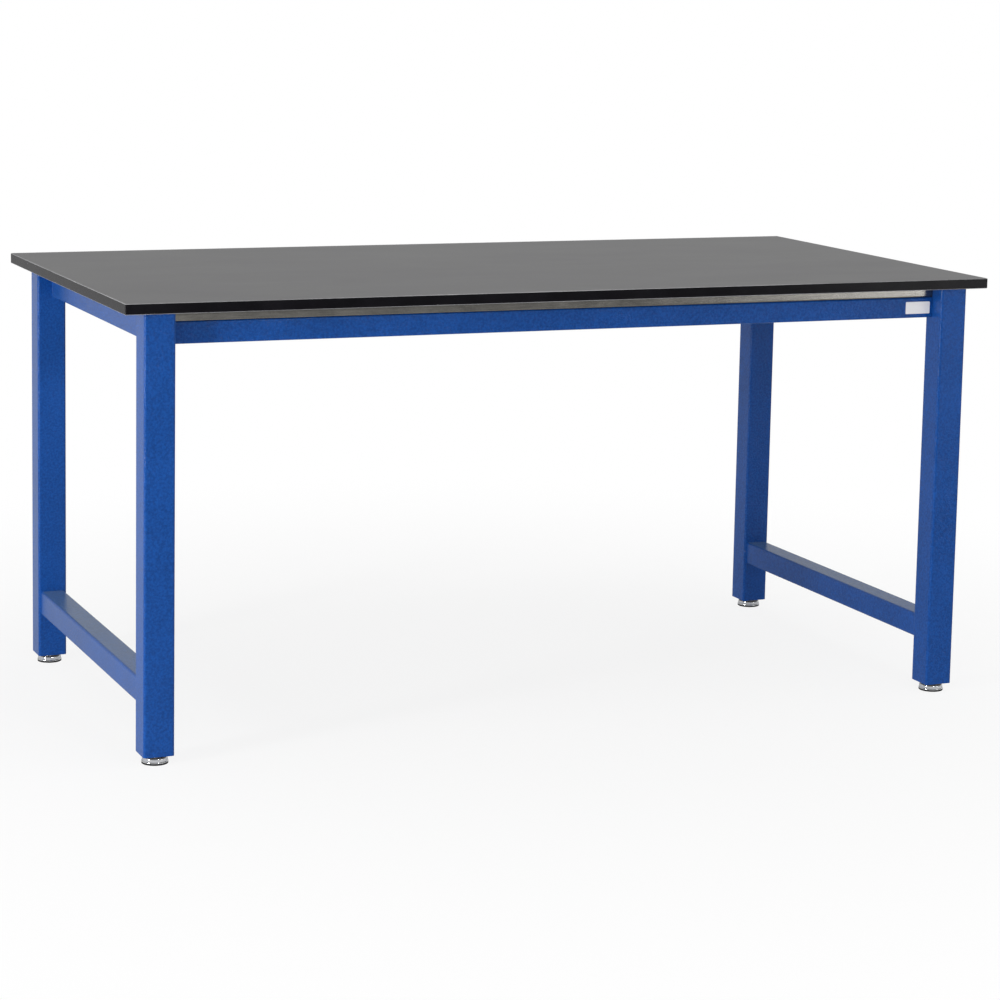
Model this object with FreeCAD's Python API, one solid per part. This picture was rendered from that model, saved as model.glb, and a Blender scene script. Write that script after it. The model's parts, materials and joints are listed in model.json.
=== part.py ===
"""Lab bench: a resin slab on a bolted steel frame of two welded end frames, with levelling glides.

Millimetres. +Z is up, +X runs along the bench, the front faces -Y.
The origin is on the floor under the middle of the worktop.
"""
import FreeCAD, Part
import math
import os

V = FreeCAD.Vector

# Worktop
TOP_WIDTH = 1829.0
TOP_DEPTH = 914.0
TOP_THICKNESS = 21.0
TOP_CHAMFER = 1.2
TOP_CORNER_RADIUS = 2.5
WORKING_HEIGHT = 875.0

# Legs: square tubes, set in from the slab's edges
LEG_SIDE = 60.0
LEG_WALL = 2.0
LEG_RADIUS = 5.0
LEG_INSET_X = 40.0
LEG_INSET_Y = 15.0

# Stretchers: square tubes low in each end frame, centred on the legs
STRETCHER_SIDE = 50.0
STRETCHER_WALL = 2.0
STRETCHER_RADIUS = 5.0
STRETCHER_FLOOR_GAP = 108.0

# Stringers: the long tubes, flush with the legs' inner faces
STRINGER_WIDTH = 25.0
STRINGER_HEIGHT = 42.0
STRINGER_WALL = 2.0
STRINGER_RADIUS = 6.0
END_GAP = 0.5

# Channels: folded strips between the stringers and the slab, open towards the inside
CHANNEL_WIDTH = 25.0
CHANNEL_HEIGHT = 21.0
CHANNEL_WALL = 2.0
CHANNEL_BEND_RADIUS = 3.0

# End rails: upper cross tubes of the end frames
RAIL_WIDTH = 25.0
RAIL_WALL = 2.0
RAIL_RADIUS = 4.0
RAIL_SETBACK = 3.0      # from the legs' inner faces
RAIL_DROP = 3.0         # rail's underside below the stringer's

# Corner brackets: angles that bolt a stringer to an end rail
BRACKET_LEG = 52.0
BRACKET_THICKNESS = 3.0
BRACKET_BEND_RADIUS = 4.5
BRACKET_MARGIN = 2.0    # above and below, within the stringer's height
BRACKET_FIRST_HOLE = 20.0
BRACKET_HOLE_PITCH = 20.0

# Bracket bolts (M8) and the nuts welded inside the tubes
BOLT_RADIUS = 4.0
BOLT_HEAD_FLATS = 13.0
BOLT_HEAD_HEIGHT = 6.0
BOLT_FLANGE_RADIUS = 8.5
BOLT_FLANGE_THICKNESS = 1.6
BOLT_TIP_LENGTH = 1.5   # past the nut
NUT_FLATS = 13.0
NUT_HEIGHT = 6.5

# Screws that hold the channels on the stringers
CHANNEL_SCREW_RADIUS = 2.4
CHANNEL_SCREW_LENGTH = 16.0
CHANNEL_SCREW_FLATS = 8.0
CHANNEL_SCREW_HEAD = 4.0
CHANNEL_SCREW_END_DISTANCE = 60.0

# Screws (M6) and inserts that hold the slab on the channels
TOP_SCREW_RADIUS = 3.0
TOP_SCREW_LENGTH = 12.0
TOP_SCREW_FLATS = 10.0
TOP_SCREW_HEAD = 4.0
TOP_SCREW_END_DISTANCE = 110.0
INSERT_RADIUS = 4.8
INSERT_LENGTH = 12.0
SCREWS_PER_CHANNEL = 5

# Feet of the legs: a plate in the tube's mouth with a threaded bush on it
FOOT_PLATE_THICKNESS = 4.0
BUSH_RADIUS = 9.0
BUSH_LENGTH = 18.0

# Levelling glides
CUP_RADIUS = 24.2
CUP_BEAD = 1.3          # radius of the rolled bead round the cup's rim
CUP_WALL = 1.3
CUP_SHOULDER = 3.5
CUP_TOP = 13.5          # above the floor
PAD_PROUD = 1.2         # below the cup's rim
PAD_EDGE = 0.6
STEM_RADIUS = 5.0
STEM_LENGTH = 45.0      # above the collar
STEM_TIP_CHAMFER = 1.0
COLLAR_FLATS = 17.0
COLLAR_HEIGHT = 4.1
STEM_FOOT_RADIUS = 8.0
STEM_FOOT_THICKNESS = 2.4

# Label on the front stringer, near its right end
LABEL_WIDTH = 57.0
LABEL_HEIGHT = 25.0
LABEL_THICKNESS = 0.3
LABEL_RADIUS = 2.0
LABEL_END_DISTANCE = 6.5

# Clearances
THREAD_CLEARANCE = 0.05
HOLE_CLEARANCE = 0.5
WELD_GAP = 0.1
SWIVEL_PLAY = 0.1
STOP_GAP = 0.2
INSERT_TIP_GAP = 1.0

# Heights
slab_underside = WORKING_HEIGHT - TOP_THICKNESS
stringer_top = slab_underside - CHANNEL_HEIGHT
stringer_underside = stringer_top - STRINGER_HEIGHT
stringer_middle = stringer_top - STRINGER_HEIGHT / 2
rail_height = CHANNEL_HEIGHT + STRINGER_HEIGHT + RAIL_DROP
collar_underside = CUP_TOP + SWIVEL_PLAY
collar_top = collar_underside + COLLAR_HEIGHT
leg_underside = collar_top + STOP_GAP

# Plan positions, as distances from the middle of the bench
leg_x = TOP_WIDTH / 2 - LEG_INSET_X - LEG_SIDE / 2
leg_y = TOP_DEPTH / 2 - LEG_INSET_Y - LEG_SIDE / 2
leg_inner_x = leg_x - LEG_SIDE / 2
leg_inner_y = leg_y - LEG_SIDE / 2
rail_inner_x = leg_inner_x + RAIL_SETBACK
stringer_end_x = leg_inner_x - END_GAP


def rounded_face(size_x, size_y, radius):
    """A rectangle with rounded corners, centred on the origin in the XY plane."""
    x = size_x / 2
    y = size_y / 2
    outline = []
    for centre_x, centre_y, start in ((x - radius, y - radius, 0), (radius - x, y - radius, 90),
                                      (radius - x, radius - y, 180), (x - radius, radius - y, 270)):
        centre = V(centre_x, centre_y, 0)
        outline.append(Part.makeCircle(radius, centre, V(0, 0, 1), start, start + 90))
    joined = []
    for arc, following in zip(outline, outline[1:] + outline[:1]):
        joined += [arc, Part.makeLine(arc.lastVertex().Point, following.firstVertex().Point)]
    return Part.Face(Part.Wire(joined))


def tube(size_x, size_y, wall, radius, length):
    """A rectangular tube that stands on the origin."""
    inner = rounded_face(size_x - 2 * wall, size_y - 2 * wall, radius - wall)
    return rounded_face(size_x, size_y, radius).cut(inner).extrude(V(0, 0, length))


def lay_along_y(shape, corner):
    """Turn an upright shape so that its top points to +Y, and move its foot to corner."""
    shape.rotate(V(0, 0, 0), V(1, 0, 0), -90)
    shape.translate(corner)
    return shape


def lay_along_x(shape, corner):
    """Turn an upright shape so that its top points to +X, and move its foot to corner."""
    shape.rotate(V(0, 0, 0), V(0, 1, 0), 90)
    shape.translate(corner)
    return shape


def mirrored(shape, right, rear):
    """A copy of a front left shape for another corner of the bench."""
    if right:
        shape = shape.mirror(V(0, 0, 0), V(1, 0, 0))
    if rear:
        shape = shape.mirror(V(0, 0, 0), V(0, 1, 0))
    return shape


def hexagon(flats, height):
    """A hexagonal prism that stands on the origin."""
    reach = flats / math.sqrt(3)
    corners = [V(reach * math.cos(math.radians(60 * i)), reach * math.sin(math.radians(60 * i)), 0)
               for i in range(7)]
    return Part.Face(Part.makePolygon(corners)).extrude(V(0, 0, height))


def is_bend(edge, corners):
    """True for an edge along X through one of the (y, z) corners."""
    first = edge.Vertexes[0].Point
    last = edge.Vertexes[-1].Point
    along_x = abs(first.y - last.y) + abs(first.z - last.z) < 1e-6
    return along_x and any(math.hypot(first.y - y, first.z - z) < 1e-6 for y, z in corners)


def spread(end_distance):
    """Even places along a channel, the outer ones at end_distance from its ends."""
    reach = stringer_end_x - end_distance
    step = 2 * reach / (SCREWS_PER_CHANNEL - 1)
    return [-reach + i * step for i in range(SCREWS_PER_CHANNEL)]


def channel_screw_points():
    """Where the channel screws of the front channel enter the stringer's top wall."""
    y = -leg_inner_y - STRINGER_WIDTH / 2
    return [V(x, y, stringer_top) for x in spread(CHANNEL_SCREW_END_DISTANCE)]


def top_screw_points():
    """Where the worktop screws of the front channel enter the slab."""
    y = -leg_inner_y - CHANNEL_WIDTH / 2
    return [V(x, y, slab_underside) for x in spread(TOP_SCREW_END_DISTANCE)]


def stringer_bolt_points():
    """Bolt axes on the inner face of the front stringer's left end."""
    return [V(-rail_inner_x + BRACKET_FIRST_HOLE + i * BRACKET_HOLE_PITCH, -leg_inner_y, stringer_middle)
            for i in range(2)]


def rail_bolt_points():
    """Bolt axes on the inner face of the left rail's front end."""
    return [V(-rail_inner_x, -leg_inner_y + BRACKET_FIRST_HOLE + i * BRACKET_HOLE_PITCH, stringer_middle)
            for i in range(2)]


def worktop():
    slab = rounded_face(TOP_WIDTH, TOP_DEPTH, TOP_CORNER_RADIUS).extrude(V(0, 0, TOP_THICKNESS))
    flat_rims = [edge for edge in slab.Edges if edge.BoundBox.ZLength < 1e-6]
    slab = slab.makeChamfer(TOP_CHAMFER, flat_rims)
    slab.translate(V(0, 0, slab_underside))
    depth = INSERT_LENGTH + INSERT_TIP_GAP
    for point in top_screw_points():
        hole = Part.makeCylinder(INSERT_RADIUS + THREAD_CLEARANCE, depth, point)
        slab = slab.cut(hole).cut(mirrored(hole, False, True))
    return slab


def leg():
    """The front left leg."""
    shape = tube(LEG_SIDE, LEG_SIDE, LEG_WALL, LEG_RADIUS, slab_underside - leg_underside)
    shape.translate(V(-leg_x, -leg_y, leg_underside))
    return shape


def stretcher():
    """The left stretcher."""
    shape = tube(STRETCHER_SIDE, STRETCHER_SIDE, STRETCHER_WALL, STRETCHER_RADIUS, 2 * leg_inner_y)
    return lay_along_y(shape, V(-leg_x, -leg_inner_y, STRETCHER_FLOOR_GAP + STRETCHER_SIDE / 2))


def end_rail():
    """The left end rail, with bolt holes in its inner wall."""
    shape = tube(RAIL_WIDTH, rail_height, RAIL_WALL, RAIL_RADIUS, 2 * leg_inner_y)
    place = V(-rail_inner_x - RAIL_WIDTH / 2, -leg_inner_y, slab_underside - rail_height / 2)
    shape = lay_along_y(shape, place)
    for point in rail_bolt_points():
        hole = Part.makeCylinder(BOLT_RADIUS + HOLE_CLEARANCE, 2 * RAIL_WALL,
                                 point - V(RAIL_WALL * 1.5, 0, 0), V(1, 0, 0))
        shape = shape.cut(hole).cut(mirrored(hole, False, True))
    return shape


def stringer():
    """The front stringer, with bolt holes behind and screw holes on top."""
    shape = tube(STRINGER_HEIGHT, STRINGER_WIDTH, STRINGER_WALL, STRINGER_RADIUS, 2 * stringer_end_x)
    shape = lay_along_x(shape, V(-stringer_end_x, -leg_inner_y - STRINGER_WIDTH / 2, stringer_middle))
    for point in stringer_bolt_points():
        hole = Part.makeCylinder(BOLT_RADIUS + HOLE_CLEARANCE, 2 * STRINGER_WALL,
                                 point - V(0, STRINGER_WALL * 1.5, 0), V(0, 1, 0))
        shape = shape.cut(hole).cut(mirrored(hole, True, False))
    for point in channel_screw_points():
        hole = Part.makeCylinder(CHANNEL_SCREW_RADIUS + THREAD_CLEARANCE, 2 * STRINGER_WALL,
                                 point - V(0, 0, STRINGER_WALL * 1.5))
        shape = shape.cut(hole)
    return shape


def channel():
    """The front channel: web outwards, flanges towards the inside."""
    front = -leg_inner_y - CHANNEL_WIDTH
    back = -leg_inner_y
    low = stringer_top
    high = slab_underside
    wall = CHANNEL_WALL
    shape = Part.makeBox(2 * stringer_end_x, CHANNEL_WIDTH, CHANNEL_HEIGHT, V(-stringer_end_x, front, low))
    outer_corners = ((front, low), (front, high))
    shape = shape.makeFillet(CHANNEL_BEND_RADIUS,
                             [edge for edge in shape.Edges if is_bend(edge, outer_corners)])
    hollow = Part.makeBox(2 * stringer_end_x, CHANNEL_WIDTH, CHANNEL_HEIGHT - 2 * wall,
                          V(-stringer_end_x, front + wall, low + wall))
    inner_corners = ((front + wall, low + wall), (front + wall, high - wall))
    hollow = hollow.makeFillet(CHANNEL_BEND_RADIUS - wall,
                               [edge for edge in hollow.Edges if is_bend(edge, inner_corners)])
    shape = shape.cut(hollow)
    for point in channel_screw_points():
        shape = shape.cut(Part.makeCylinder(CHANNEL_SCREW_RADIUS + THREAD_CLEARANCE, 2 * wall,
                                            point - V(0, 0, wall / 2)))
    for point in top_screw_points():
        shape = shape.cut(Part.makeCylinder(TOP_SCREW_RADIUS + HOLE_CLEARANCE, 2 * wall,
                                            point - V(0, 0, wall * 1.5)))
    return shape


def bracket():
    """The front left corner bracket: an angle whose heel sits in the corner of rail and stringer."""
    low = stringer_underside + BRACKET_MARGIN
    height = STRINGER_HEIGHT - 2 * BRACKET_MARGIN
    heel = V(-rail_inner_x, -leg_inner_y, low)
    along_stringer = Part.makeBox(BRACKET_LEG, BRACKET_THICKNESS, height, heel)
    along_rail = Part.makeBox(BRACKET_THICKNESS, BRACKET_LEG, height, heel)
    inner = heel + V(BRACKET_THICKNESS, BRACKET_THICKNESS, 0)
    shape = along_stringer.fuse(along_rail).removeSplitter()
    shape = round_upright(shape, heel, BRACKET_BEND_RADIUS)
    shape = round_upright(shape, inner, BRACKET_BEND_RADIUS - BRACKET_THICKNESS)
    for point in stringer_bolt_points():
        shape = shape.cut(Part.makeCylinder(BOLT_RADIUS + HOLE_CLEARANCE, 2 * BRACKET_THICKNESS,
                                            point - V(0, BRACKET_THICKNESS / 2, 0), V(0, 1, 0)))
    for point in rail_bolt_points():
        shape = shape.cut(Part.makeCylinder(BOLT_RADIUS + HOLE_CLEARANCE, 2 * BRACKET_THICKNESS,
                                            point - V(BRACKET_THICKNESS / 2, 0, 0), V(1, 0, 0)))
    return shape


def round_upright(shape, corner, radius):
    """Fillet the upright edge of shape that passes through corner."""
    edges = [edge for edge in shape.Edges
             if edge.BoundBox.ZLength > radius
             and math.hypot(edge.CenterOfMass.x - corner.x, edge.CenterOfMass.y - corner.y) < 1e-6]
    return shape.makeFillet(radius, edges)


def bolt(wall):
    """A flange bolt that stands head up on the origin and reaches down through bracket, wall and nut."""
    reach = BRACKET_THICKNESS + wall + NUT_HEIGHT + BOLT_TIP_LENGTH
    flange = Part.makeCylinder(BOLT_FLANGE_RADIUS, BOLT_FLANGE_THICKNESS)
    head = hexagon(BOLT_HEAD_FLATS, BOLT_HEAD_HEIGHT)
    head.translate(V(0, 0, BOLT_FLANGE_THICKNESS))
    shank = Part.makeCylinder(BOLT_RADIUS, reach, V(0, 0, -reach))
    return flange.fuse([head, shank]).removeSplitter()


def nut(wall):
    """The nut of bolt(wall), against the inside of the tube's wall."""
    body = hexagon(NUT_FLATS, NUT_HEIGHT)
    body = body.cut(Part.makeCylinder(BOLT_RADIUS + THREAD_CLEARANCE, NUT_HEIGHT))
    body.translate(V(0, 0, -BRACKET_THICKNESS - wall - NUT_HEIGHT))
    return body


def at_corners(upright):
    """Copies of upright(wall), made for both walls, at each bolt of each corner."""
    placed = []
    for point in stringer_bolt_points():
        placed.append(lay_along_y(upright(STRINGER_WALL), point + V(0, BRACKET_THICKNESS, 0)))
    for point in rail_bolt_points():
        placed.append(lay_along_x(upright(RAIL_WALL), point + V(BRACKET_THICKNESS, 0, 0)))
    return Part.makeCompound([mirrored(shape, right, rear)
                              for shape in placed for right in (False, True) for rear in (False, True)])


def channel_screw():
    """A hex screw that stands head up on the origin."""
    head = hexagon(CHANNEL_SCREW_FLATS, CHANNEL_SCREW_HEAD)
    shank = Part.makeCylinder(CHANNEL_SCREW_RADIUS, CHANNEL_SCREW_LENGTH, V(0, 0, -CHANNEL_SCREW_LENGTH))
    return head.fuse(shank).removeSplitter()


def top_screw():
    """A hex screw that hangs head down from the origin."""
    head = hexagon(TOP_SCREW_FLATS, TOP_SCREW_HEAD)
    head.translate(V(0, 0, -TOP_SCREW_HEAD))
    return head.fuse(Part.makeCylinder(TOP_SCREW_RADIUS, TOP_SCREW_LENGTH)).removeSplitter()


def insert():
    """A threaded insert that stands on the origin, in the slab's underside."""
    sleeve = Part.makeCylinder(INSERT_RADIUS, INSERT_LENGTH)
    return sleeve.cut(Part.makeCylinder(TOP_SCREW_RADIUS + THREAD_CLEARANCE, INSERT_LENGTH))


def both_sides(shape_maker, points):
    """Copies of a shape at points of the front, and the same at the rear."""
    placed = []
    for point in points:
        shape = shape_maker()
        shape.translate(point)
        placed += [shape, mirrored(shape, False, True)]
    return Part.makeCompound(placed)


def foot_plate():
    """The plate welded in the front left leg's mouth."""
    side = LEG_SIDE - 2 * LEG_WALL - 2 * WELD_GAP
    plate = rounded_face(side, side, LEG_RADIUS - LEG_WALL).extrude(V(0, 0, FOOT_PLATE_THICKNESS))
    plate = plate.cut(Part.makeCylinder(STEM_RADIUS + THREAD_CLEARANCE, FOOT_PLATE_THICKNESS))
    plate.translate(V(-leg_x, -leg_y, leg_underside))
    return plate


def thread_bush():
    """The threaded bush on the front left foot plate."""
    sleeve = Part.makeCylinder(BUSH_RADIUS, BUSH_LENGTH)
    sleeve = sleeve.cut(Part.makeCylinder(STEM_RADIUS + THREAD_CLEARANCE, BUSH_LENGTH))
    sleeve.translate(V(-leg_x, -leg_y, leg_underside + FOOT_PLATE_THICKNESS))
    return sleeve


def turned(edges):
    """The front left solid of revolution of edges in the XZ plane."""
    solid = Part.Face(Part.Wire(edges)).revolve(V(0, 0, 0), V(0, 0, 1), 360)
    solid.translate(V(-leg_x, -leg_y, 0))
    return solid


def arc(start, middle, end):
    """An arc through three (radius, height) points."""
    return Part.Arc(*[V(r, 0, z) for r, z in (start, middle, end)]).toShape()


def lines(*points):
    """Straight edges along (radius, height) points."""
    return [Part.makeLine(V(a[0], 0, a[1]), V(b[0], 0, b[1])) for a, b in zip(points, points[1:])]


def quarter(centre, radius):
    """The middle of the arc from a vertical side up to a flat top, round centre."""
    return (centre[0] + radius * math.sqrt(0.5), centre[1] + radius * math.sqrt(0.5))


def glide_cup():
    """A pressed cup, open below, with a rolled bead round its rim and a hole for the stem's neck."""
    hole = STEM_RADIUS + THREAD_CLEARANCE
    inside = CUP_RADIUS - CUP_WALL
    turn = (CUP_RADIUS - CUP_SHOULDER, CUP_TOP - CUP_SHOULDER)
    bead_middle = PAD_PROUD + CUP_BEAD
    bead_top = PAD_PROUD + 2 * CUP_BEAD
    ceiling = CUP_TOP - CUP_WALL
    edges = lines((turn[0], CUP_TOP), (hole, CUP_TOP), (hole, ceiling), (turn[0], ceiling))
    edges.append(arc((turn[0], ceiling), quarter(turn, CUP_SHOULDER - CUP_WALL), (inside, turn[1])))
    edges += lines((inside, turn[1]), (inside, PAD_PROUD), (CUP_RADIUS, PAD_PROUD))
    edges.append(arc((CUP_RADIUS, PAD_PROUD), (CUP_RADIUS + CUP_BEAD, bead_middle), (CUP_RADIUS, bead_top)))
    edges += lines((CUP_RADIUS, bead_top), (CUP_RADIUS, turn[1]))
    edges.append(arc((CUP_RADIUS, turn[1]), quarter(turn, CUP_SHOULDER), (turn[0], CUP_TOP)))
    return turned(edges)


def glide_pad():
    """A moulded pad that fills the cup below the stem's foot and stands proud of its rim."""
    inside = CUP_RADIUS - CUP_WALL - WELD_GAP
    pad_top = CUP_TOP - CUP_SHOULDER - STEM_FOOT_THICKNESS
    edges = lines((0, 0), (CUP_RADIUS - PAD_EDGE, 0), (CUP_RADIUS, PAD_EDGE), (CUP_RADIUS, PAD_PROUD),
                  (inside, PAD_PROUD), (inside, pad_top), (0, pad_top), (0, 0))
    return turned(edges)


def glide_stem():
    """The stem: a foot caught in the cup, a neck, a hex collar and the threaded shank."""
    foot_top = CUP_TOP - CUP_WALL - SWIVEL_PLAY
    foot_underside = foot_top - STEM_FOOT_THICKNESS
    tip = collar_top + STEM_LENGTH
    round_parts = turned(lines((0, foot_underside), (STEM_FOOT_RADIUS, foot_underside),
                               (STEM_FOOT_RADIUS, foot_top), (STEM_RADIUS, foot_top),
                               (STEM_RADIUS, tip - STEM_TIP_CHAMFER), (STEM_RADIUS - STEM_TIP_CHAMFER, tip),
                               (0, tip), (0, foot_underside)))
    collar = hexagon(COLLAR_FLATS, COLLAR_HEIGHT)
    collar.translate(V(-leg_x, -leg_y, collar_underside))
    return round_parts.fuse(collar).removeSplitter()


def label():
    """A bare rounded label on the front stringer, near its right end."""
    shape = rounded_face(LABEL_WIDTH, LABEL_HEIGHT, LABEL_RADIUS).extrude(V(0, 0, LABEL_THICKNESS))
    shape.rotate(V(0, 0, 0), V(1, 0, 0), 90)
    shape.translate(V(leg_inner_x - LABEL_END_DISTANCE - LABEL_WIDTH / 2, -leg_inner_y - STRINGER_WIDTH,
                      stringer_middle))
    return shape


def export(node, shape):
    if not shape.isValid() or not shape.Solids:
        raise RuntimeError(node + " is not a sound solid")
    shape.exportStep("parts/" + node + ".step")


def main():
    os.makedirs("parts", exist_ok=True)
    export("worktop", worktop())
    for depth, rear in (("front", False), ("rear", True)):
        export("stringer_" + depth, mirrored(stringer(), False, rear))
        export("channel_" + depth, mirrored(channel(), False, rear))
        for side, right in (("left", False), ("right", True)):
            corner = "_" + depth + "_" + side
            export("leg" + corner, mirrored(leg(), right, rear))
            export("corner_bracket" + corner, mirrored(bracket(), right, rear))
            export("foot_plate" + corner, mirrored(foot_plate(), right, rear))
            export("thread_bush" + corner, mirrored(thread_bush(), right, rear))
            export("glide_cup" + corner, mirrored(glide_cup(), right, rear))
            export("glide_pad" + corner, mirrored(glide_pad(), right, rear))
            export("glide_stem" + corner, mirrored(glide_stem(), right, rear))
    for side, right in (("left", False), ("right", True)):
        export("stretcher_" + side, mirrored(stretcher(), right, False))
        export("end_rail_" + side, mirrored(end_rail(), right, False))
    export("bracket_bolts", at_corners(bolt))
    export("bracket_nuts", at_corners(nut))
    flange = V(0, 0, CHANNEL_WALL)
    export("channel_screws", both_sides(channel_screw, [point + flange for point in channel_screw_points()]))
    export("worktop_screws", both_sides(top_screw, [point - flange for point in top_screw_points()]))
    export("worktop_inserts", both_sides(insert, top_screw_points()))
    export("label", label())


main()
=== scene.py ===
"""Lab bench: a black resin slab on a coated steel frame of two welded ends, with levelling glides.

Metres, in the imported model's frame: +Z is up, +X runs along the bench and the front faces -Y.
The origin is on the floor under the middle of the worktop.
"""
import json
import math

import bmesh
import bpy
from bpy.props import FloatProperty, FloatVectorProperty, IntProperty, PointerProperty
from bpy.types import Operator, Panel, PropertyGroup
from mathutils import Euler, Matrix, Vector

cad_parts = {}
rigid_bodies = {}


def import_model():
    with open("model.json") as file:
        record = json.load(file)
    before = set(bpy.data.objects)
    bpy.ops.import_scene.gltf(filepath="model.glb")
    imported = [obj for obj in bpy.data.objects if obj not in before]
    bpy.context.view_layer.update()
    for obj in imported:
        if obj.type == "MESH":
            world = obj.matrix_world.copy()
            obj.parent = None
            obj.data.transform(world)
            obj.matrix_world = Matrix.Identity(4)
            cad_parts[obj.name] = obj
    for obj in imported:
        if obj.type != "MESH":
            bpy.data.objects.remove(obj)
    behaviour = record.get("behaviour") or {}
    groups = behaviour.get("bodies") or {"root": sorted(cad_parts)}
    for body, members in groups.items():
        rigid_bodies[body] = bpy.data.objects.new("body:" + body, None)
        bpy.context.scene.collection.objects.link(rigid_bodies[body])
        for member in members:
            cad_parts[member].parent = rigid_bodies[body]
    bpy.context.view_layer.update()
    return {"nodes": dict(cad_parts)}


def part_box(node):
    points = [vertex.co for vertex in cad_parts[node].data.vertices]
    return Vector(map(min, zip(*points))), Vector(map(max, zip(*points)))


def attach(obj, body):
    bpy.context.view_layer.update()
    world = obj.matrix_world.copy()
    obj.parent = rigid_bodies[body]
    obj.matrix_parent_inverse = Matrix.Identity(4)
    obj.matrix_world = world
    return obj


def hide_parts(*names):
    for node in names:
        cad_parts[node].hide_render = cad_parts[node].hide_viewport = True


bl_info = {
    "name": "Lab Bench",
    "version": (1, 0, 0),
    "blender": (4, 5, 0),
    "location": "3D View > Sidebar > Lab Bench",
    "description": "Dresses the packed lab bench: slab, frame, channels, fasteners and glides",
    "category": "Add Mesh",
}

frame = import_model()

DEPTHS = ("front", "rear")
SIDES = ("left", "right")
CORNERS = tuple(depth + "_" + side for depth in DEPTHS for side in SIDES)
LAMPS = {                   # what each is, where it stands, its width and height, and its power
    "key": ("tall soft lamp", (-4.6, -1.8, 1.0), (0.6, 1.9), 145.0),
    "front": ("front lamp", (0.83, -5.6, 1.9), (0.35, 0.5), 41.0),
    "ceiling": ("ceiling lamp", (0.7, -1.0, 3.9), (2.4, 1.1), 26.0),
    "low": ("low lamp on the right", (3.7, -4.6, 0.42), (1.4, 0.7), 10.0),
}
OWN_MATERIAL = "bench_"     # keeps the finishes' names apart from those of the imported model's slots
WHITE = (1.0, 1.0, 1.0, 1.0)

WELD_TOLERANCE = 1e-6       # vertices nearer than this become one
RING_TOLERANCE = 1e-5       # a vertex this near a ring is on it
LEVEL_TOLERANCE = 1e-7      # heights this near are the same
CREASE = 35.0               # degrees at which an edge stays crisp, where a piece gives no other
FOLD_STEPS = 6              # facets in a bend and in the corners of slab and label
DRILL_WALLS = 3             # a drill's length, in thicknesses of the wall that it goes through
DRILL_STEPS = 32            # facets round a drilled hole
HEX_STEPS = 36              # facets round the blank that a hexagon is cut from
HEX_CROWN = 0.46            # of the flats: the radius of a hexagon's flat top
HEX_COPLANAR = 0.5          # degrees: two of its faces that meet at less than this become one

# Turns that bring an upright shape's +Z to another axis, and its section's X and Y to the other two
UPRIGHT = Matrix.Identity(3)
ALONG_X = Matrix(((0, 0, 1), (1, 0, 0), (0, 1, 0)))
ALONG_Y = Matrix(((0, 1, 0), (0, 0, 1), (1, 0, 0)))
UNTURNED = Matrix.Identity(4)
ORIGIN = Vector((0.0, 0.0, 0.0))
UP = Vector((0.0, 0.0, 1.0))


def kind_of(prop, **options):
    """A kind of property: it takes a description and a default now, and its name from named."""
    return lambda description, default: lambda name: prop(
        name=name, description=description, default=default, **options)


length = kind_of(FloatProperty, min=0.0, unit="LENGTH", subtype="DISTANCE", precision=5)
span = kind_of(FloatVectorProperty, size=2, unit="LENGTH")
spot = kind_of(FloatVectorProperty, size=3, unit="LENGTH", subtype="TRANSLATION")
attitude = kind_of(FloatVectorProperty, size=3, unit="ROTATION", subtype="EULER")
colour = kind_of(FloatVectorProperty, size=3, min=0.0, max=1.0, subtype="COLOR")
watts = kind_of(FloatProperty, min=0.0, unit="POWER")
portion = kind_of(FloatProperty, min=0.0, soft_max=1.0)
number = kind_of(IntProperty, min=2, max=24)
lens = kind_of(FloatProperty, min=1.0, unit="CAMERA")
fraction = kind_of(FloatProperty)


def named(group):
    """Name each property of a group as its attribute is named."""
    for name, make in group.__annotations__.items():
        group.__annotations__[name] = make(name.replace("_", " ").capitalize())
    return group


@named
class FrameSizes(PropertyGroup):
    """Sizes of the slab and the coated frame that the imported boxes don't give."""
    tube_wall: length("Wall of every tube", 0.002)
    leg_radius: length("Outside corner radius of the legs", 0.005)
    stretcher_radius: length("Outside corner radius of the stretchers", 0.005)
    rail_radius: length("Outside corner radius of the end rails", 0.004)
    stringer_radius: length("Outside corner radius of the stringers", 0.0032)
    channel_wall: length("Thickness of the channels' strip", 0.002)
    channel_bend: length("Outside bend radius of the channels", 0.003)
    bracket_wall: length("Thickness of the corner brackets", 0.003)
    bracket_bend: length("Outside bend radius of the corner brackets", 0.0045)
    slab_corner: length("Radius of the slab's upright corners", 0.0025)
    slab_chamfer: length("Chamfer round the slab's faces", 0.0012)
    arris: length("Rounding of the slab's machined edges", 0.0003)
    label_radius: length("Corner radius of the label", 0.002)
    weld_bead: length("Radius of the weld beads", 0.0014)
    weld_ripple: length("Distance between two ripples of a bead", 0.0028)
    corner_steps: number("Facets in each rounded corner", 8)


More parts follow.
